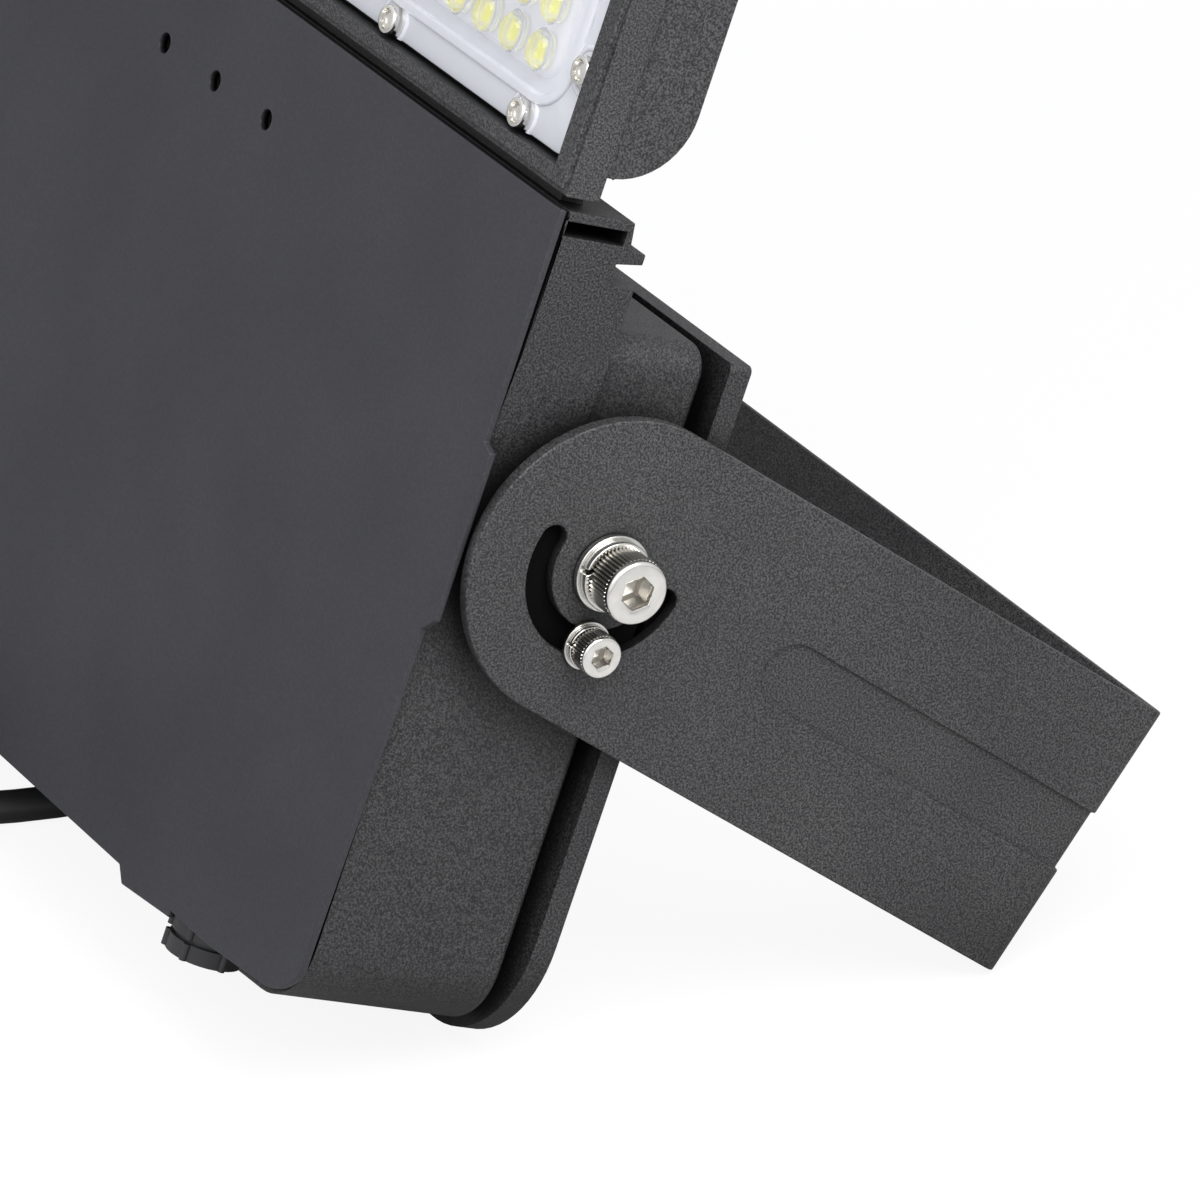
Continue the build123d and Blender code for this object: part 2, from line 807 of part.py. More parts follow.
def coil_path():
    arcs = []
    for quarter in range(coil_quarters):
        arcs += biarc(coil_point(quarter), coil_direction(quarter),
                      coil_point(quarter + 1), coil_direction(quarter + 1))
    return Wire(arcs)


def least_gap(path, count=400):
    points = [path @ (n / count) for n in range(count + 1)]
    reach_over = math.ceil(4 * cord_size / (path.length / count))
    return min((a - b).length for n, a in enumerate(points) for b in points[n + reach_over:]) - cord_size


def make_coil():
    path = coil_path()
    print("coil length", round(path.length), "least gap", round(least_gap(path), 2))
    return tube_on(path, cord_radius)


# The tie goes round both layers of the coil, across its section
def make_tie():
    centre, first = coil_frame()
    strand = coil_radius - coil_pitch / 4 * tie_quarter
    low = strand - cord_radius - loose_fit
    high = strand + cord_radius + loose_fit
    tall = coil_pitch + cord_size + 2 * loose_fit
    inner = Pos((low + high) / 2, coil_level + coil_pitch / 2) * RectangleRounded(high - low, tall, tie_round)
    outer = Pos((low + high) / 2, coil_level + coil_pitch / 2) * RectangleRounded(
        high - low + 2 * tie_thick, tall + 2 * tie_thick, tie_round + tie_thick)
    loop = extrude(Plane.XZ * (outer - inner), tie_width / 2, both=True)
    lock = Pos(high + tie_head[0] / 2, 0, coil_level + coil_pitch / 2) * Box(*tie_head)
    loop += lock - Pos((low + high) / 2, 0, coil_level) * Box(high - low, 2 * tie_head[1], 4 * tall)
    return Pos(centre.X, centre.Y, 0) * Rot(0, 0, math.degrees(first) - 90 * tie_quarter) * loop


def make_cores():
    heading = coil_direction(coil_quarters)
    side = Vector(-heading.Y, heading.X, 0)
    start = coil_point(coil_quarters) + heading * loose_fit
    cores = []
    for n in (-1, 0, 1):
        root = start + side * (n * core_size)
        bend = root + heading * (core_length * core_straight)
        fan = (heading + side * (n * core_fan)) * (core_length * (1 - core_straight))
        tip = bend + fan - Vector(0, 0, core_drop)
        path = FilletPolyline(tuple(root), tuple(bend), tuple(tip), radius=core_round)
        cores.append(tube_on(path, core_size / 2))
    return cores


nodes = {
    "bracket": make_bracket(),
    "driver_housing": make_housing(),
    "driver_cover": make_cover(),
    "cover_seal": make_cover_seal(),
    "cover_screws": make_cover_screws(),
    "light_casting": make_light(),
    "lens_plate": make_lens(),
    "lens_seal": make_lens_seal(),
    "led_board": make_board(),
    "lens_screws": make_lens_screws(),
    "joint_screws": make_joint_screws(),
    "led_driver": make_driver(),
    "driver_screws": make_driver_screws(),
    "terminal_block": make_terminal(),
    "gland_body": make_gland(),
    "gland_seal": make_gland_seal(),
    "gland_nut": make_gland_nut(),
    "gland_locknut": make_gland_locknut(),
    "blanking_plug": make_plug(),
    "plug_seal": make_plug_seal(),
    "pivot_washers": pivot_flats,
    "pivot_spring_washers": pivot_springs,
    "pivot_screws": pivot_screws,
    "lock_washers": lock_flats,
    "lock_spring_washers": lock_springs,
    "lock_screws": lock_screws,
}

# These lie on the floor beside the lamp, so they are drawn in its standing place
loose_nodes = {
    "mains_cable": make_cord(),
    "cable_coil": make_coil(),
    "cable_tie": make_tie(),
    "cable_cores": make_cores(),
}

os.makedirs("parts", exist_ok=True)
for name, shape in nodes.items():
    export_step(stand(shape), f"parts/{name}.step")
for name, shape in loose_nodes.items():
    export_step(laid(shape), f"parts/{name}.step")
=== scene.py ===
import math
import json
import bpy
from mathutils import Matrix, Vector


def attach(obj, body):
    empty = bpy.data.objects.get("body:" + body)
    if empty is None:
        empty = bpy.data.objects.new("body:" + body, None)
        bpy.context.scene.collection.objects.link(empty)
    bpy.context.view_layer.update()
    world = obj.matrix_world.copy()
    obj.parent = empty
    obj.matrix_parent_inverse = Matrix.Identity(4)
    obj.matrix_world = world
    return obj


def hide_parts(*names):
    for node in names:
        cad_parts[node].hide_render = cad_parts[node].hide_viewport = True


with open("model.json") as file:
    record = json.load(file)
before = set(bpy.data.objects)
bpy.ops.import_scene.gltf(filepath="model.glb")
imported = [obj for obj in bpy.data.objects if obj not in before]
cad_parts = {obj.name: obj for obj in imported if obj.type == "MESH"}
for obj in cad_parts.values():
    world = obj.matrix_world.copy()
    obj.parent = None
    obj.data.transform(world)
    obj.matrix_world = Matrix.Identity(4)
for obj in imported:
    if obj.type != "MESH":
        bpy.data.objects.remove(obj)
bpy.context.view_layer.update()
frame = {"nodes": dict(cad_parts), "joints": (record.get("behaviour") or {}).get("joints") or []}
scene = bpy.context.scene
mm = 0.001

# where the lamp stands: it leans back on its casing and bracket about the hinge
hinge = frame["joints"][0]
hingePlace = Vector(hinge["pos_m"])
lean = math.radians(70.3894)
print("frame loaded, hinge at", tuple(round(v, 4) for v in hingePlace))


def turnedOnly(direction):    # from the lamp's own axes to the standing lamp's
    x, y, z = direction
    return Vector((x, y * math.cos(lean) - z * math.sin(lean), y * math.sin(lean) + z * math.cos(lean)))


def inPlace(x, y, z):    # the lamp's own millimetres to the standing lamp's metres
    return turnedOnly((x, y, z)) * mm + hingePlace


# Camera: the directions are in the lamp's own axes
cameraSetup = {
    "place": (1674.2, -839.0, 911.3),    # millimetres, x and y from the hinge and z from the floor
    "lens": 300.3,
    "sensor": 36,
    "right": (0.4726, 0.3100, -0.8249),
    "down": (0.3767, -0.9173, -0.1289),
    "forward": (-0.7967, -0.2498, -0.5503),
}


def makeCamera(setup):
    data = bpy.data.cameras.new("camera")
    data.lens = setup["lens"]
    data.sensor_width = setup["sensor"]
    data.clip_start = 0.05
    data.clip_end = 50
    camera = bpy.data.objects.new("camera", data)
    scene.collection.objects.link(camera)
    right = turnedOnly(setup["right"]).normalized()
    down = turnedOnly(setup["down"]).normalized()
    back = -turnedOnly(setup["forward"]).normalized()
    matrix = Matrix((right, -down, back)).transposed().to_4x4()
    x, y, z = setup["place"]
    matrix.translation = Vector((x * mm, y * mm + hingePlace.y, z * mm))
    camera.matrix_world = matrix
    scene.camera = camera


makeCamera(cameraSetup)
print("camera set")


# Floor, sky and lamps
studio = {
    "floorHalf": 4.0, "floorShade": 0.9, "floorGlow": 0.9, "floorBounce": 0.5,
    "skyLow": 0.60, "skyHigh": 1.10, "skySide": (0.62, -0.55, 0.56), "skyGrade": (-0.6, 0.9),
    "keyPlace": (430, 380, 120), "keyAim": (130, 20, 0),    # in the lamp's own millimetres
    "keyPower": 3.0, "keySize": 0.35,
    "frontPlace": (0.9, -1.6, 1.7), "frontAim": (0, 0, 0.15), "frontPower": 12, "frontSize": 1.4,
}


def nodesOf(material):
    material.use_nodes = True
    tree = material.node_tree
    tree.nodes.clear()
    return tree


def makeSky(setup):
    world = bpy.data.worlds.new("sky")
    scene.world = world
    world.use_nodes = True
    tree = world.node_tree
    tree.nodes.clear()
    out = tree.nodes.new("ShaderNodeOutputWorld")
    path = tree.nodes.new("ShaderNodeLightPath")
    lit = tree.nodes.new("ShaderNodeBackground")
    lit.inputs["Color"].default_value = (0.97, 0.98, 1.0, 1)
    # the sky is brighter on the side that the key lamp stands on
    toward = tree.nodes.new("ShaderNodeTexCoord")
    turn = tree.nodes.new("ShaderNodeVectorMath")
    turn.operation = "DOT_PRODUCT"
    turn.inputs[1].default_value = setup["skySide"]
    grade = tree.nodes.new("ShaderNodeMapRange")
    grade.inputs["From Min"].default_value, grade.inputs["From Max"].default_value = setup["skyGrade"]
    grade.inputs["To Min"].default_value = setup["skyLow"]
    grade.inputs["To Max"].default_value = setup["skyHigh"]
    tree.links.new(toward.outputs["Generated"], turn.inputs[0])
    tree.links.new(turn.outputs["Value"], grade.inputs["Value"])
    tree.links.new(grade.outputs["Result"], lit.inputs["Strength"])
    seen = tree.nodes.new("ShaderNodeBackground")
    seen.inputs["Color"].default_value = (1, 1, 1, 1)
    mix = tree.nodes.new("ShaderNodeMixShader")
    tree.links.new(path.outputs["Is Camera Ray"], mix.inputs["Fac"])
    tree.links.new(lit.outputs["Background"], mix.inputs[1])
    tree.links.new(seen.outputs["Background"], mix.inputs[2])
    tree.links.new(mix.outputs["Shader"], out.inputs["Surface"])


def makeFloor(setup):
    bpy.ops.object.select_all(action="DESELECT")
    bpy.ops.mesh.primitive_plane_add(size=2 * setup["floorHalf"])
    floor = bpy.context.object
    floor.name = "floor"
    material = bpy.data.materials.new("paleFloor")
    tree = nodesOf(material)
    out = tree.nodes.new("ShaderNodeOutputMaterial")
    path = tree.nodes.new("ShaderNodeLightPath")
    # the camera sees a pale, partly glowing floor, and the lamp gets a darker bounce from it
    matt = tree.nodes.new("ShaderNodeBsdfDiffuse")
    matt.inputs["Color"].default_value = (setup["floorShade"],) * 3 + (1,)
    glow = tree.nodes.new("ShaderNodeEmission")
    glow.inputs["Strength"].default_value = 1.0
    seen = tree.nodes.new("ShaderNodeMixShader")
    seen.inputs["Fac"].default_value = setup["floorGlow"]
    tree.links.new(matt.outputs["BSDF"], seen.inputs[1])
    tree.links.new(glow.outputs["Emission"], seen.inputs[2])
    mix = tree.nodes.new("ShaderNodeMixShader")
    tree.links.new(path.outputs["Is Camera Ray"], mix.inputs["Fac"])
    bounce = tree.nodes.new("ShaderNodeBsdfDiffuse")
    bounce.inputs["Color"].default_value = (setup["floorBounce"],) * 3 + (1,)
    tree.links.new(bounce.outputs["BSDF"], mix.inputs[1])
    tree.links.new(seen.outputs["Shader"], mix.inputs[2])
    tree.links.new(mix.outputs["Shader"], out.inputs["Surface"])
    floor.data.materials.append(material)


def makeLamp(name, place, aim, power, size):
    data = bpy.data.lights.new(name, "AREA")
    data.energy = power
    data.size = size
    lamp = bpy.data.objects.new(name, data)
    lamp.location = place
    lamp.rotation_euler = (Vector(aim) - Vector(place)).to_track_quat("-Z", "Y").to_euler()
    scene.collection.objects.link(lamp)


scene.view_settings.view_transform = "Standard"
makeSky(studio)
makeFloor(studio)
makeLamp("keyLamp", inPlace(*studio["keyPlace"]), inPlace(*studio["keyAim"]), studio["keyPower"],
         studio["keySize"])
makeLamp("frontLamp", studio["frontPlace"], studio["frontAim"], studio["frontPower"], studio["frontSize"])
print("studio ready")


# Finishes
paintFinish = {"colour": (0.013, 0.013, 0.014), "light": (0.080, 0.079, 0.081),
               "rough": 0.55, "gloss": 0.35, "grain": 2300, "bump": 0.5}
# the same textured paint made darker: painted shade on the driver housing, which gets less light than the
# bracket
shadedPaintFinish = {"colour": (0.010, 0.010, 0.011), "light": (0.064, 0.063, 0.065),
              "rough": 0.55, "gloss": 0.32, "grain": 2300, "bump": 0.5}
coverFinish = {"colour": (0.027, 0.027, 0.032), "light": (0.036, 0.036, 0.042),
               "rough": 0.45, "gloss": 0.32, "grain": 1500, "bump": 0.05}
# near-black painted shade for the bosses' faces seen through the bracket's slots
padShadeFinish = {"colour": (0.004, 0.004, 0.004), "rough": 0.8, "gloss": 0.02}
steelFinish = {"colour": (0.66, 0.65, 0.62), "rough": 0.22}
rubberFinish = {"colour": (0.012, 0.012, 0.013), "rough": 0.6}
plasticFinish = {"colour": (0.022, 0.022, 0.024), "rough": 0.38}
boardFinish = {"colour": (0.86, 0.87, 0.88), "rough": 0.5}
driverFinish = {"colour": (0.6, 0.6, 0.6), "rough": 0.4}
cloud = {"size": 28, "ramp": (0.35, 0.65), "dark": (0.84, 0.84, 0.85)}    # slow patches in the paint
nearCreaseShade = (0.0016, 0.30, 0.80)    # painted shade from ambient occlusion: reach in metres, then where the shade is full and where it ends
farCreaseShade = (0.040, 0.15, 0.85)
# painted shade in the knurl's valleys
knurlValleyShade = (0.0006, 0.35, 0.75)
creaseShade = (0.02, 0.02, 0.02)
white = (1, 1, 1)


def basic(name, rough, metal=0.0):
    material = bpy.data.materials.new(name)
    tree = nodesOf(material)
    out = tree.nodes.new("ShaderNodeOutputMaterial")
    body = tree.nodes.new("ShaderNodeBsdfPrincipled")
    body.inputs["Roughness"].default_value = rough
    body.inputs["Metallic"].default_value = metal
    tree.links.new(body.outputs["BSDF"], out.inputs["Surface"])
    return material, tree, body


def addNoise(tree, scale, detail=3.0):
    place = tree.nodes.new("ShaderNodeTexCoord")
    noise = tree.nodes.new("ShaderNodeTexNoise")
    noise.inputs["Scale"].default_value = scale
    noise.inputs["Detail"].default_value = detail
    tree.links.new(place.outputs["Object"], noise.inputs["Vector"])
    return noise


def addRamp(tree, source, low, high, first, second):
    ramp = tree.nodes.new("ShaderNodeValToRGB")
    ramp.color_ramp.elements[0].position = low
    ramp.color_ramp.elements[1].position = high
    ramp.color_ramp.elements[0].color = (*first, 1)
    ramp.color_ramp.elements[1].color = (*second, 1)
    tree.links.new(source, ramp.inputs["Fac"])
    return ramp


def addBump(tree, body, source, strength, depth):
    bump = tree.nodes.new("ShaderNodeBump")
    bump.inputs["Strength"].default_value = strength
    bump.inputs["Distance"].default_value = depth
    tree.links.new(source, bump.inputs["Height"])
    tree.links.new(bump.outputs["Normal"], body.inputs["Normal"])


def multiply(tree, first, second):
    shade = tree.nodes.new("ShaderNodeMixRGB")
    shade.blend_type = "MULTIPLY"
    shade.inputs["Fac"].default_value = 1.0
    tree.links.new(first, shade.inputs["Color1"])
    tree.links.new(second, shade.inputs["Color2"])
    return shade.outputs["Color"]


def paintCreaseShade(tree, source, reach, low, high):    # painted shade: ambient occlusion darkens the base colour in creases and gaps between pieces
    creaseShading = tree.nodes.new("ShaderNodeAmbientOcclusion")
    creaseShading.inputs["Distance"].default_value = reach
    creaseShading.samples = 8
    depth = addRamp(tree, creaseShading.outputs["AO"], low, high, creaseShade, white)
    return multiply(tree, source, depth.outputs["Color"])


def paint(name, finish):
    material, tree, body = basic(name, finish["rough"])
    body.inputs["Specular IOR Level"].default_value = finish["gloss"]
    grain = addNoise(tree, finish["grain"], 4.0)
    ramp = addRamp(tree, grain.outputs["Fac"], 0.40, 0.66, finish["colour"], finish["light"])
    patches = addNoise(tree, cloud["size"], 2.0)
    mottle = addRamp(tree, patches.outputs["Fac"], *cloud["ramp"], cloud["dark"], white)
    patchy = multiply(tree, ramp.outputs["Color"], mottle.outputs["Color"])
    # painted shade: the paint's base colour is darkened near creases and far into gaps
    near = paintCreaseShade(tree, patchy, *nearCreaseShade)
    far = paintCreaseShade(tree, near, *farCreaseShade)
    tree.links.new(far, body.inputs["Base Color"])
    addBump(tree, body, grain.outputs["Fac"], finish["bump"], 0.0001)
    return material


def plain(name, finish, metal=0.0, grain=900, bump=0.04, creaseShading=None):
    material, tree, body = basic(name, finish["rough"], metal)
    body.inputs["Specular IOR Level"].default_value = finish.get("gloss", 0.5)
    colour = finish["colour"]
    noise = addNoise(tree, grain)
    ramp = addRamp(tree, noise.outputs["Fac"], 0.3, 0.7, [c * 0.88 for c in colour], colour)
    tinted = ramp.outputs["Color"]
    # optional painted shade from ambient occlusion in the material's creases
    if creaseShading:
        tinted = paintCreaseShade(tree, tinted, *creaseShading)
    tree.links.new(tinted, body.inputs["Base Color"])
    addBump(tree, body, noise.outputs["Fac"], bump, 0.00005)
    return material


paintMaterial = paint("texturedPaint", paintFinish)
shadedPaintMaterial = paint("texturedPaintInShade", shadedPaintFinish)
coverMaterial = paint("smoothPaint", coverFinish)
steelMaterial = plain("brightSteel", steelFinish, 1.0, 300, 0.02)
rubberMaterial = plain("blackRubber", rubberFinish)
padShadeMaterial = plain("paintedShadePad", padShadeFinish)
plasticMaterial = plain("blackPlastic", plasticFinish)
boardMaterial = plain("whiteBoard", boardFinish, 0.0, 200, 0.0)
driverMaterial = plain("driverCase", driverFinish, 0.8)


def dress(node, material):
    piece = frame["nodes"][node]
    piece.data.materials.clear()
    piece.data.materials.append(material)


nodeFinish = {
    paintMaterial: ["bracket", "light_casting"],
    # the driver housing takes the darker copy of the paint as painted shade
    shadedPaintMaterial: ["driver_housing"],
    coverMaterial: ["driver_cover"],
    steelMaterial: ["cover_screws", "lens_screws", "joint_screws", "driver_screws",
                    "pivot_washers", "pivot_spring_washers", "pivot_screws",
                    "lock_washers", "lock_spring_washers", "lock_screws"],
    rubberMaterial: ["cover_seal", "lens_seal", "gland_seal", "plug_seal"],
    plasticMaterial: ["terminal_block", "gland_body", "gland_nut", "gland_locknut",
                      "blanking_plug", "cable_tie"],
    boardMaterial: ["led_board"],
    driverMaterial: ["led_driver"],
}
for material, names in nodeFinish.items():
    for name in names:
        dress(name, material)
print("finishes on the solids")


# Cord: the route's points are the solids' own, in millimetres, with y from the hinge and z from the floor
cordSize = 7.0
cordLevel = cordSize / 2 + 0.1
tieThick = 1.2
coilLevel = cordSize / 2 + tieThick + 0.3    # the coil lies on its tie
cordSetup = {
    "route": [(-64, 54.6, 10.8), (-33, 57.1, cordLevel), (-10.5, 34.1, cordLevel), (-9, 2.1, cordLevel),
              (-8.3, -54.4, cordLevel), (-30, -95.9, cordLevel), (-50.5, -130.9, coilLevel)],
    "glandX": -86.0,
    "glandRow": -72.0,
    "glandFace": -21.0,
    "inside": 14,
    "exit": 15,    # inside the end of the gland nut
    "straight": 42,
    "coilRadius": 41.0,
    "coilPitch": 7.7,
    "quarters": 10,
    "stepsPerQuarter": 4,
    "length": 0.905,
}
jacketFinish = {"colour": (0.013, 0.013, 0.014), "rough": 0.42}
coreSetup = {"radius": 1.1, "apart": 2.2, "root": 2, "rise": 9, "straight": 18.4, "splay": 27.6, "spread": 0.45,
             "drop": 1.5}
coreColours = {"brownCore": (0.10, 0.035, 0.015), "greenCore": (0.02, 0.16, 0.04),
               "blueCore": (0.01, 0.05, 0.30)}
jacketMaterial = plain("cordJacket", jacketFinish, 0.0, 1200, 0.05)


def coilFrame(setup):
    start = Vector(setup["route"][-1])
    before = Vector(setup["route"][-2])
    heading = start - before
    heading.z = 0
    heading.normalize()
    centre = start + Vector((heading.y, -heading.x, 0)) * setup["coilRadius"]
    return centre, math.atan2(start.y - centre.y, start.x - centre.x)


def coilPoint(setup, quarter):
    centre, first = coilFrame(setup)
    half = setup["quarters"] / 2
    inward = quarter if quarter < half else setup["quarters"] - quarter
    radius = setup["coilRadius"] - setup["coilPitch"] / 4 * inward
    rise = min(max((quarter - half + 1) / 2, 0), 1)
    angle = first - quarter * math.pi / 2
    lift = setup["coilPitch"] * (3 * rise ** 2 - 2 * rise ** 3)
    return Vector((centre.x + radius * math.cos(angle), centre.y + radius * math.sin(angle),
                   coilLevel + lift))


def makeSpline(name, points, radius, material):
    curve = bpy.data.curves.new(name, "CURVE")
    curve.dimensions = "3D"
    curve.bevel_depth = radius * mm
    curve.bevel_resolution = 5
    curve.resolution_u = 6
    curve.use_fill_caps = True
    spline = curve.splines.new("NURBS")
    spline.points.add(len(points) - 1)
    for point, place in zip(spline.points, points):
        point.co = (place[0] * mm, place[1] * mm + hingePlace.y, place[2] * mm, 1)
    spline.order_u = 3
    spline.use_endpoint_u = True
    curve.materials.append(material)
    piece = bpy.data.objects.new(name, curve)
    scene.collection.objects.link(piece)
    return piece


def makeCord(setup):
    mouth = inPlace(setup["glandX"], setup["glandRow"], setup["glandFace"]) / mm
    mouth.y -= hingePlace.y / mm
    out = turnedOnly((0, 0, -1))
    points = [mouth - out * setup["inside"], mouth + out * setup["straight"]]
    points += [Vector(point) for point in setup["route"]]
    steps = setup["quarters"] * setup["stepsPerQuarter"]
    points += [coilPoint(setup, n / setup["stepsPerQuarter"]) for n in range(1, steps + 1)]
    return makeSpline("mainsCord", points, cordSize / 2, jacketMaterial), mouth


def makeCores(lay, setup):
    last = coilPoint(lay, lay["quarters"])
    before = coilPoint(lay, lay["quarters"] - 0.02)
    heading = (last - before).normalized()
    side = Vector((-heading.y, heading.x, 0))
    cores = []
    for n, (name, colour) in zip((-1, 0, 1), coreColours.items()):
        material = plain(name + "Sleeve", {"colour": colour, "rough": 0.35})
        root = last + side * (n * setup["apart"]) - heading * setup["root"]
        bend = root + heading * setup["straight"]
        tip = bend + (heading + side * (n * setup["spread"])) * setup["splay"]
        tip += Vector((0, 0, -setup["drop"]))
        points = [root, root + heading * setup["rise"], bend, tip]
        cores.append(makeSpline(name, points, setup["radius"], material))
    return cores


cord, cordMouth = makeCord(cordSetup)
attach(cord, "head")
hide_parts("mains_cable", "cable_coil")
cores = makeCores(cordSetup, coreSetup)
for core in cores:
    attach(core, "head")
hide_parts("cable_cores")
print("cord laid")


# Modelling helpers: pieces are shaped in the lamp's own place, in metres, and then stood up
lampPlace = Matrix.Translation(hingePlace) @ Matrix.Rotation(lean, 4, "X")


def clearAll():
    if bpy.context.mode != "OBJECT":
        bpy.ops.object.mode_set(mode="OBJECT")
    bpy.ops.object.select_all(action="DESELECT")


def pick(piece):
    clearAll()
    piece.select_set(True)
    bpy.context.view_layer.objects.active = piece


def settle(piece, place=None):
    piece.matrix_world = (place or Matrix.Identity(4)) @ piece.matrix_world
    pick(piece)
    bpy.ops.object.transform_apply(location=True, rotation=True, scale=True)


def applyAll(piece):
    pick(piece)
    for name in [modifier.name for modifier in piece.modifiers]:
        bpy.ops.object.modifier_apply(modifier=name)


def join(name, pieces):
    clearAll()
    for piece in pieces:
        piece.select_set(True)
    bpy.context.view_layer.objects.active = pieces[0]
    if len(pieces) > 1:
        bpy.ops.object.join()
    joined = bpy.context.object
    joined.name = name
    joined.data.name = name
    return joined


def addCopy(piece, place):
    other = piece.copy()
    other.data = piece.data.copy()
    scene.collection.objects.link(other)
    other.matrix_world = place @ piece.matrix_world
    return other


def cylinder(radius, low, high, sides, centre=(0, 0)):
    clearAll()
    bpy.ops.mesh.primitive_cylinder_add(vertices=sides, radius=radius * mm, depth=(high - low) * mm,
                                        location=(centre[0] * mm, centre[1] * mm, (high + low) / 2 * mm))
    piece = bpy.context.object
    settle(piece)
    return piece


def startPick(kind):
    bpy.ops.object.mode_set(mode="EDIT")
    bpy.ops.mesh.select_mode(type=kind)
    bpy.ops.mesh.select_all(action="DESELECT")
    bpy.ops.object.mode_set(mode="OBJECT")


def pickVerts(piece, test):
    startPick("VERT")
    for vert in piece.data.vertices:
        vert.select = test(vert.co)
    bpy.ops.object.mode_set(mode="EDIT")


def pickEdges(piece, test):
    startPick("EDGE")
    verts = piece.data.vertices
    for edge in piece.data.edges:
        edge.select = test(verts[edge.vertices[0]].co, verts[edge.vertices[1]].co)
    bpy.ops.object.mode_set(mode="EDIT")


def pickFaces(piece, test):
    startPick("FACE")
    for face in piece.data.polygons:
        face.select = test(face.center, face.normal)
    bpy.ops.object.mode_set(mode="EDIT")


def bevelPicked(width, rings):
    bpy.ops.mesh.bevel(offset=width * mm, segments=rings)
    bpy.ops.object.mode_set(mode="OBJECT")


def bevelTop(piece, top, width, rings):    # the edges round and on a piece's top face
    pickEdges(piece, lambda a, b: min(a.z, b.z) > (top - 0.01) * mm)
    bevelPicked(width, rings)


def cutAway(piece, cutter, name):
    cut = piece.modifiers.new(name, "BOOLEAN")
    cut.object = cutter
    cut.solver = "EXACT"
    applyAll(piece)
    bpy.data.objects.remove(cutter)


def smooth(piece, degrees=32):
    pick(piece)
    bpy.ops.object.shade_smooth_by_angle(angle=math.radians(degrees))


def declare(piece, body, slot, *nodes):
    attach(piece, body)
    if nodes:
        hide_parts(*nodes)


def finish(piece, material, body, slot, *nodes):
    piece.data.materials.clear()
    piece.data.materials.append(material)
    declare(piece, body, slot, *nodes)


# Castings, bracket and washers: merged copies of the solids with softened edges
creaseAngle = 38
padReach, padLevel = 26.0, 134.0    # millimetres from the hinge line, and out from the middle, where the pads get painted shade
softSetup = {    # edge width, rings, name, material, body, slot
    "bracket": (0.4, 3, "softBracket", paintMaterial, "bracket", "bracket_steel"),
    "driver_cover": (0.3, 2, "softCover", coverMaterial, "head", "cover"),
    "driver_housing": (0.25, 2, "softHousing", shadedPaintMaterial, "head", "casting"),
    "light_casting": (0.25, 2, "softLight", paintMaterial, "head", "casting"),
    "pivot_washers": (0.3, 3, "softPivotWashers", steelMaterial, "head", "steel"),
    "pivot_spring_washers": (0.3, 3, "softPivotSprings", steelMaterial, "head", "steel"),
    "lock_washers": (0.2, 3, "softLockWashers", steelMaterial, "head", "steel"),
    "lock_spring_washers": (0.22, 3, "softLockSprings", steelMaterial, "head", "steel"),
}


def soften(node, width, rings, name, material, body, slot):
    source = frame["nodes"][node]
    piece = bpy.data.objects.new(name, source.data.copy())
    scene.collection.objects.link(piece)
    pick(piece)
    bpy.ops.object.mode_set(mode="EDIT")
    bpy.ops.mesh.select_all(action="SELECT")
    bpy.ops.mesh.remove_doubles(threshold=0.00001)
    bpy.ops.object.mode_set(mode="OBJECT")
    bevel = piece.modifiers.new("edge", "BEVEL")
    bevel.width = width * mm
    bevel.segments = rings
    bevel.limit_method = "ANGLE"
    bevel.angle_limit = math.radians(creaseAngle)
    bevel.use_clamp_overlap = False
    bevel.loop_slide = False
    applyAll(piece)
    smooth(piece)
    piece.modifiers.new("flatFaces", "WEIGHTED_NORMAL").keep_sharp = True
    applyAll(piece)
    finish(piece, material, body, slot, node)
    return piece


def paintPadShade(piece, reach, level):    # painted shade: the bosses' faces behind the arms, seen through the slots, get a near-black material for the shadow there
    piece.data.materials.append(padShadeMaterial)
    back = lampPlace.inverted()
    for face in piece.data.polygons:
        centre = back @ face.center / mm
        if abs(centre.x) > level and math.hypot(centre.y, centre.z) < reach:
            face.material_index = 1


softened = {node: soften(node, *values) for node, values in softSetup.items()}
paintPadShade(softened["driver_housing"], padReach, padLevel)
print("softened pieces", len(softSetup))


# Hinge and lock screws: a knurled head with a polished, chamfered face and a hexagon socket
screwSetup = {
    "pivot": {"head": 13.3, "height": 8.0, "knurl": 6.3, "ridges": 48, "bite": 0.90, "chamfer": 0.8,
              "key": 6.0, "socket": 4.4, "thread": 8.0, "row": 0.0, "seat": 143.2, "length": 25.0},
    "lock": {"head": 8.7, "height": 5.0, "knurl": 3.9, "ridges": 38, "bite": 0.90, "chamfer": 0.5,
             "key": 4.0, "socket": 2.8, "thread": 5.0, "row": -15.25, "seat": 141.8, "length": 17.5},
}
knurlEdge = 0.35
socketCone = {"inset": 0.6, "depth": 0.9}
socketRim = 0.45
faceStep = 0.12    # the polished face is this much inside the knurl
headFinish = {"colour": (0.84, 0.82, 0.78), "rough": 0.2}
knurlFinish = {"colour": (0.66, 0.64, 0.60), "rough": 0.28}
headMaterial = plain("polishedHead", headFinish, 1.0, 500, 0.015)
# the knurl's valleys are darkened by painted shade
knurlMaterial = plain("knurledSteel", knurlFinish, 1.0, 900, 0.03, knurlValleyShade)


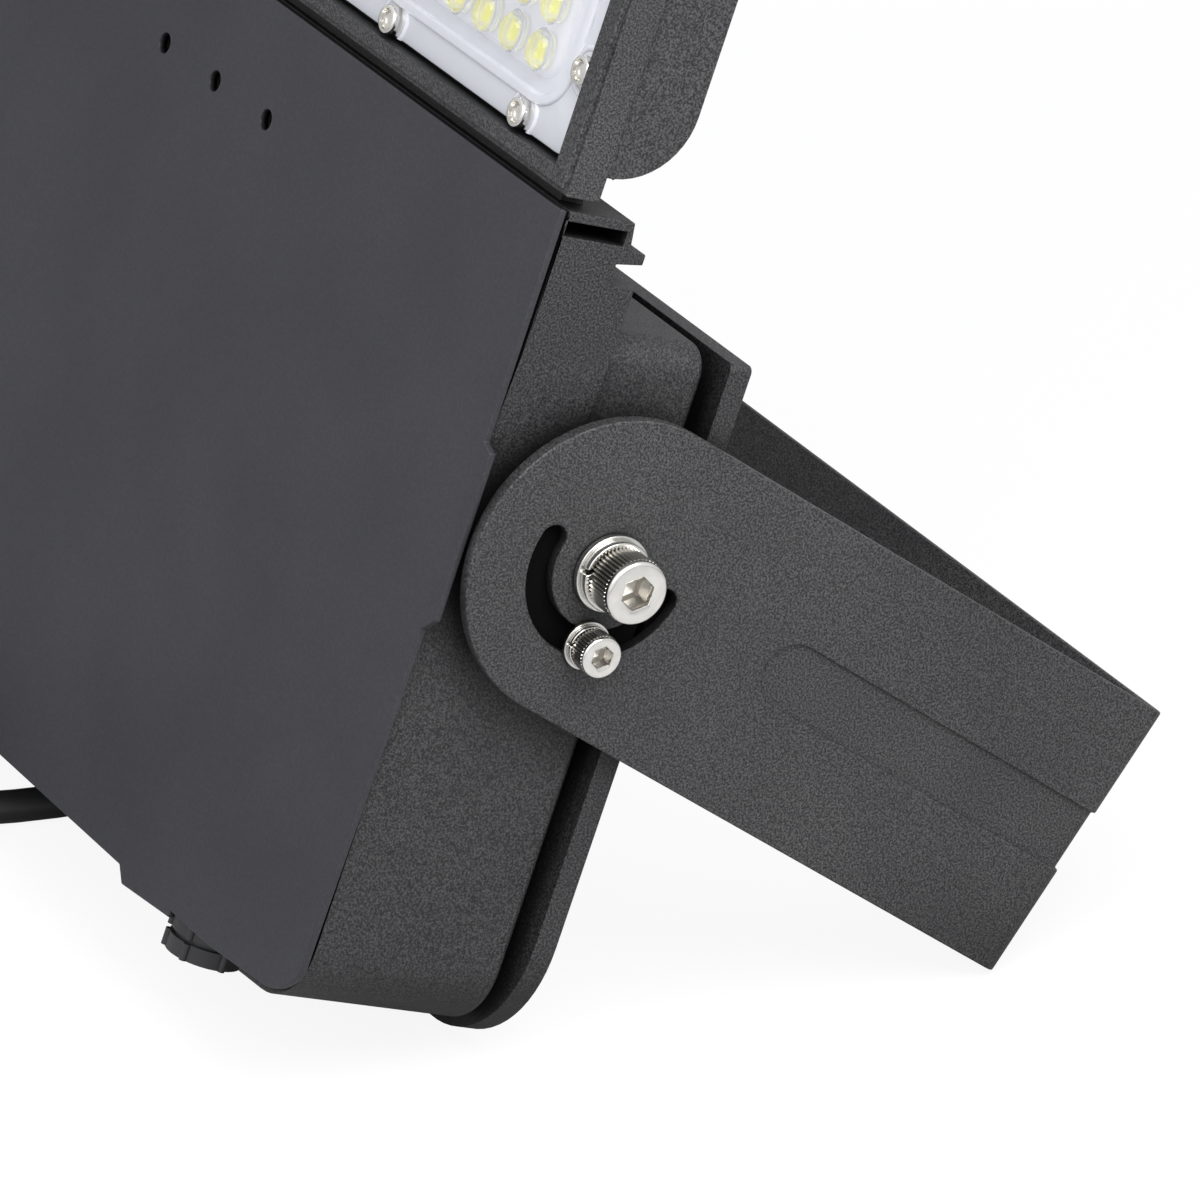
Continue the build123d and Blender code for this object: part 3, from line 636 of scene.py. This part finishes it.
def makeKnurl(setup):
    sides = 2 * setup["ridges"]
    radius = setup["head"] / 2
    piece = cylinder(radius, knurlEdge, setup["knurl"], sides)
    step = 2 * math.pi / sides
    pickVerts(piece, lambda co: round(math.atan2(co.y, co.x) / step) % 2 == 0)
    bpy.ops.transform.resize(value=(setup["bite"], setup["bite"], 1), center_override=(0, 0, 0))
    pickFaces(piece, lambda centre, normal: abs(normal.z) > 0.9)
    bpy.ops.mesh.inset(thickness=knurlEdge * mm, depth=knurlEdge * mm)
    bpy.ops.object.mode_set(mode="OBJECT")
    cutSocket(piece, setup)
    piece.data.materials.append(knurlMaterial)
    return piece


def cutSocket(piece, setup):
    top = setup["height"]
    cutter = cylinder(setup["key"] / math.sqrt(3), top - setup["socket"], top + 1, 6)
    pickFaces(cutter, lambda centre, normal: normal.z < -0.9)
    bpy.ops.mesh.inset(thickness=socketCone["inset"] * mm, depth=socketCone["depth"] * mm)
    bpy.ops.object.mode_set(mode="OBJECT")
    cutAway(piece, cutter, "socket")


def makeHeadFace(setup):
    radius = setup["head"] / 2 - faceStep
    top = setup["height"]
    piece = cylinder(radius, setup["knurl"] + knurlEdge, top, 72)
    bevelTop(piece, top, setup["chamfer"], 4)
    cutSocket(piece, setup)
    mouth = setup["key"] * 0.6 * mm
    pickEdges(piece, lambda a, b: min(a.z, b.z) > (top - 0.01) * mm and max(a.xy.length, b.xy.length) < mouth)
    bevelPicked(socketRim, 2)
    piece.data.materials.append(headMaterial)
    return piece


def makeShank(setup):
    radius = setup["thread"] / 2
    piece = cylinder(radius * 0.97, -setup["length"], 0.5, 24)
    pickFaces(piece, lambda centre, normal: normal.z < -0.9)
    bpy.ops.mesh.inset(thickness=0.5 * mm, depth=0.5 * mm)
    bpy.ops.object.mode_set(mode="OBJECT")
    piece.data.materials.append(steelMaterial)
    return piece


def makeScrewPair(name, setup, node):
    first = join(name + "Head", [makeKnurl(setup), makeHeadFace(setup), makeShank(setup)])
    turnOut = Matrix.Rotation(math.pi / 2, 4, "Y")
    pair = []
    for side in (1, -1):
        facing = Matrix.Rotation(0 if side > 0 else math.pi, 4, "Z") @ turnOut
        place = Matrix.Translation((side * setup["seat"] * mm, setup["row"] * mm, 0)) @ facing
        pair.append(addCopy(first, lampPlace @ place))
    bpy.data.objects.remove(first)
    for piece in pair:
        settle(piece)
    both = join(name, pair)
    smooth(both, 28)
    declare(both, "head", "steel", node)


makeScrewPair("hingeScrews", screwSetup["pivot"], "pivot_screws")
makeScrewPair("lockScrews", screwSetup["lock"], "lock_screws")
print("hinge and lock screws")


# Lens plate: a clear flange with a raised field of oval lenses, one over each light chip
lensSetup = {
    "halfX": 126.5, "low": 75.3, "high": 334.7, "under": 28.8, "top": 31.0, "round": 4.0,
    "fieldX": 115.5, "fieldLow": 86.3, "fieldHigh": 323.7, "fieldRise": 1.8, "fieldEdge": 1.54,
    "fieldRound": 5.0,
    "beadOut": 5.4, "beadRise": 0.7, "beadWide": 2.6, "beadRound": 11.0, "beadEdge": 0.6,
    "pitchX": 10.9, "pitchY": 9.5, "columns": 21, "rows": 25, "firstX": -109.0, "firstY": 91.3,
    "domeX": 3.1, "domeY": 4.0, "domeRise": 2.4,
    "boardTop": 28.3, "chip": (2.6, 3.4), "chipRise": 2.6, "chipOffset": (-3.0, -0.9), "chipEdge": (0.2, 0.1),
    "ringRadius": 4.6, "ringThick": 0.7, "ringSink": 0.15, "ringCut": 0.4,
}
# the foot of a lens, from the dome down: drop and widening as shares of the dome, with a low lip first
footSteps = [(0.04, (1.16, 1.12, 1)), (0.12, (0.86, 0.88, 1)), (1.85, None)]
lensScrewSetup = {"radius": 3.0, "height": 2.2, "rim": 0.9, "wall": 0.3, "recess": 1.3, "pin": 0.5,
                  "neck": 1.5, "shank": 6.5, "edge": 0.45}
screwRow = [-107.8, -53.9, 0.0, 53.9, 107.8]
screwColumn = [92.5, 149.0, 205.5, 262.0, 318.5]
lensScrews = [(x, y) for y in (78.0, 332.0) for x in screwRow]
lensScrews += [(x, y) for x in (-124.3, 124.3) for y in screwColumn]


acrylic = 1.49    # index of refraction


def clear(name, colour, alpha, rough):
    material, tree, body = basic(name, rough)
    body.inputs["Base Color"].default_value = (*colour, 1)
    body.inputs["Alpha"].default_value = alpha
    body.inputs["IOR"].default_value = acrylic
    noise = addNoise(tree, 60, 2.0)
    addBump(tree, body, noise.outputs["Fac"], 0.06, 0.0006)
    material.surface_render_method = "BLENDED"
    return material


def lensGlass(name, rough):    # half see-through, so that the chips show
    material, tree, body = basic(name, rough)
    body.inputs["Base Color"].default_value = (0.97, 0.98, 1.0, 1)
    body.inputs["Transmission Weight"].default_value = 1.0
    body.inputs["Alpha"].default_value = 0.5
    body.inputs["IOR"].default_value = acrylic
    noise = addNoise(tree, 90, 2.0)
    addBump(tree, body, noise.outputs["Fac"], 0.05, 0.0004)
    return material


flangeMaterial = clear("clearFlange", (0.69, 0.70, 0.75), 0.80, 0.10)
fieldMaterial = clear("clearField", (0.95, 0.95, 0.98), 0.22, 0.06)
domeMaterial = lensGlass("clearLens", 0.03)
chipMaterial = plain("yellowChip", {"colour": (0.86, 0.83, 0.10), "rough": 0.4}, 0.0, 400, 0.02)


def roundBox(halfX, low, high, bottom, top, corner):
    clearAll()
    bpy.ops.mesh.primitive_cube_add(size=1, location=(0, (low + high) / 2 * mm, (bottom + top) / 2 * mm),
                                    scale=(2 * halfX * mm, (high - low) * mm, (top - bottom) * mm))
    piece = bpy.context.object
    settle(piece)
    pickEdges(piece, lambda a, b: abs(a.z - b.z) > 0.5 * (top - bottom) * mm)
    bevelPicked(corner, 6)
    return piece


def makeFlange(setup):
    piece = roundBox(setup["halfX"], setup["low"], setup["high"], setup["under"], setup["top"],
                     setup["round"])
    bevelTop(piece, setup["top"], 0.4, 2)
    # the middle is open, so the board shows through the field alone
    inner = roundBox(setup["fieldX"] - 1, setup["fieldLow"] + 1, setup["fieldHigh"] - 1, setup["under"] - 1,
                     setup["top"] + 1, setup["fieldRound"])
    cutAway(piece, inner, "middle")
    piece.data.materials.append(flangeMaterial)
    return piece


def makeBead(setup):
    out = setup["beadOut"]
    top = setup["top"] + setup["beadRise"]
    edge = setup["beadEdge"]
    piece = roundBox(setup["fieldX"] + out, setup["fieldLow"] - out, setup["fieldHigh"] + out,
                     setup["top"] - 0.2, top, setup["beadRound"])
    bevelTop(piece, top, edge, 3)
    pickFaces(piece, lambda centre, normal: normal.z > 0.99)
    bpy.ops.mesh.inset(thickness=(setup["beadWide"] - 2 * edge) * mm)
    bpy.ops.mesh.inset(thickness=edge * mm, depth=-(setup["beadRise"] + 0.15) * mm)
    bpy.ops.mesh.delete(type="FACE")
    bpy.ops.object.mode_set(mode="OBJECT")
    piece.data.materials.append(flangeMaterial)
    return piece


def makeField(setup):
    top = setup["top"] + setup["fieldRise"]
    piece = roundBox(setup["fieldX"], setup["fieldLow"], setup["fieldHigh"], setup["top"] - 0.1, top,
                     setup["fieldRound"])
    bevelTop(piece, top, setup["fieldEdge"], 4)
    piece.data.materials.append(fieldMaterial)
    return piece


def makeRings(setup):    # a low ring round each lens screw, cut off at the plate's edge
    limitX = setup["halfX"] * mm
    planes = [((limitX, 0, 0), (1, 0, 0)), ((-limitX, 0, 0), (-1, 0, 0)),
              ((0, setup["low"] * mm, 0), (0, -1, 0)), ((0, setup["high"] * mm, 0), (0, 1, 0)),
              ((0, 0, (setup["top"] - setup["ringCut"]) * mm), (0, 0, -1))]
    rings = []
    for x, y in lensScrews:
        clearAll()
        bpy.ops.mesh.primitive_torus_add(major_radius=setup["ringRadius"] * mm,
                                         minor_radius=setup["ringThick"] * mm,
                                         major_segments=32, minor_segments=8,
                                         location=(x * mm, y * mm, (setup["top"] - setup["ringSink"]) * mm))
        ring = bpy.context.object
        settle(ring)
        for point, normal in planes:
            bpy.ops.object.mode_set(mode="EDIT")
            bpy.ops.mesh.select_all(action="SELECT")
            bpy.ops.mesh.bisect(plane_co=point, plane_no=normal, clear_outer=True, use_fill=True)
            bpy.ops.object.mode_set(mode="OBJECT")
        ring.data.materials.append(flangeMaterial)
        rings.append(ring)
    return rings


def makeDome(setup):
    clearAll()
    bpy.ops.mesh.primitive_uv_sphere_add(segments=12, ring_count=8, radius=1)
    piece = bpy.context.object
    bpy.ops.object.mode_set(mode="EDIT")
    bpy.ops.mesh.select_all(action="SELECT")
    bpy.ops.mesh.bisect(plane_co=(0, 0, 0), plane_no=(0, 0, -1), clear_outer=True, use_fill=True)
    bpy.ops.object.mode_set(mode="OBJECT")
    pickFaces(piece, lambda centre, normal: normal.z < -0.99)
    for drop, widening in footSteps:
        bpy.ops.mesh.extrude_region_move(TRANSFORM_OT_translate={"value": (0, 0, -drop)})
        if widening:
            bpy.ops.transform.resize(value=widening, center_override=(0, 0, 0))
    bpy.ops.object.mode_set(mode="OBJECT")
    base = setup["top"] + setup["fieldRise"] + 0.4
    shape = Matrix.Diagonal((setup["domeX"] * mm, setup["domeY"] * mm, setup["domeRise"] * mm, 1))
    place = Matrix.Translation((setup["firstX"] * mm, setup["firstY"] * mm, (base - 0.05) * mm))
    settle(piece, place @ shape)
    return piece


def repeatOver(piece, setup):
    for name, count, offset in (("across", setup["columns"], (setup["pitchX"] * mm, 0, 0)),
                                ("along", setup["rows"], (0, setup["pitchY"] * mm, 0))):
        row = piece.modifiers.new(name, "ARRAY")
        row.use_relative_offset = False
        row.use_constant_offset = True
        row.constant_offset_displace = offset
        row.count = count
    applyAll(piece)


def makeChips(setup):
    wide, long = setup["chip"]
    offsetX, offsetY = setup["chipOffset"]
    inset, rise = setup["chipEdge"]
    clearAll()
    bpy.ops.mesh.primitive_cube_add(size=1, scale=(wide * mm, long * mm, setup["chipRise"] * mm),
                                    location=((setup["firstX"] + offsetX) * mm,
                                              (setup["firstY"] + offsetY) * mm,
                                              (setup["boardTop"] + setup["chipRise"] / 2) * mm))
    piece = bpy.context.object
    settle(piece)
    pickFaces(piece, lambda centre, normal: normal.z > 0.9)
    bpy.ops.mesh.inset(thickness=inset * mm, depth=rise * mm)
    bpy.ops.object.mode_set(mode="OBJECT")
    repeatOver(piece, setup)
    settle(piece, lampPlace)
    piece.name = "lightChips"
    finish(piece, chipMaterial, "head", "board")


def makeLens(setup):
    domes = makeDome(setup)
    repeatOver(domes, setup)
    domes.data.materials.append(domeMaterial)
    smooth(domes, 60)
    plate = join("plate", [makeFlange(setup), makeBead(setup), makeField(setup)])
    smooth(plate, 40)
    rings = join("rings", makeRings(setup))
    smooth(rings, 50)
    lens = join("lensPlate", [plate, domes, rings])
    settle(lens, lampPlace)
    declare(lens, "head", "lens", "lens_plate")


def makeLensScrews(setup, top):
    head = cylinder(setup["radius"], 0, setup["height"], 28)
    pickFaces(head, lambda centre, normal: normal.z > 0.99)
    bpy.ops.mesh.inset(thickness=setup["rim"] * mm)
    bpy.ops.mesh.inset(thickness=setup["wall"] * mm, depth=-setup["recess"] * mm)
    bpy.ops.mesh.inset(thickness=setup["pin"] * mm, depth=setup["pin"] * mm)
    pickFaces(head, lambda centre, normal: normal.z < -0.99)
    bpy.ops.mesh.inset(thickness=setup["neck"] * mm)
    bpy.ops.mesh.extrude_region_move(TRANSFORM_OT_translate={"value": (0, 0, -setup["shank"] * mm)})
    level = (setup["height"] - 0.05) * mm
    reach = (setup["radius"] - 0.05) * mm
    pickEdges(head, lambda a, b: min(a.z, b.z) > level and min(a.xy.length, b.xy.length) > reach)
    bevelPicked(setup["edge"], 3)
    head.data.materials.append(headMaterial)
    copies = [addCopy(head, lampPlace @ Matrix.Translation((x * mm, y * mm, top * mm))) for x, y in lensScrews]
    bpy.data.objects.remove(head)
    for piece in copies:
        settle(piece)
    screws = join("lensScrews", copies)
    smooth(screws, 30)
    declare(screws, "head", "steel", "lens_screws")


makeLens(lensSetup)
makeChips(lensSetup)
makeLensScrews(lensScrewSetup, lensSetup["top"])
print("lens, chips and screws")
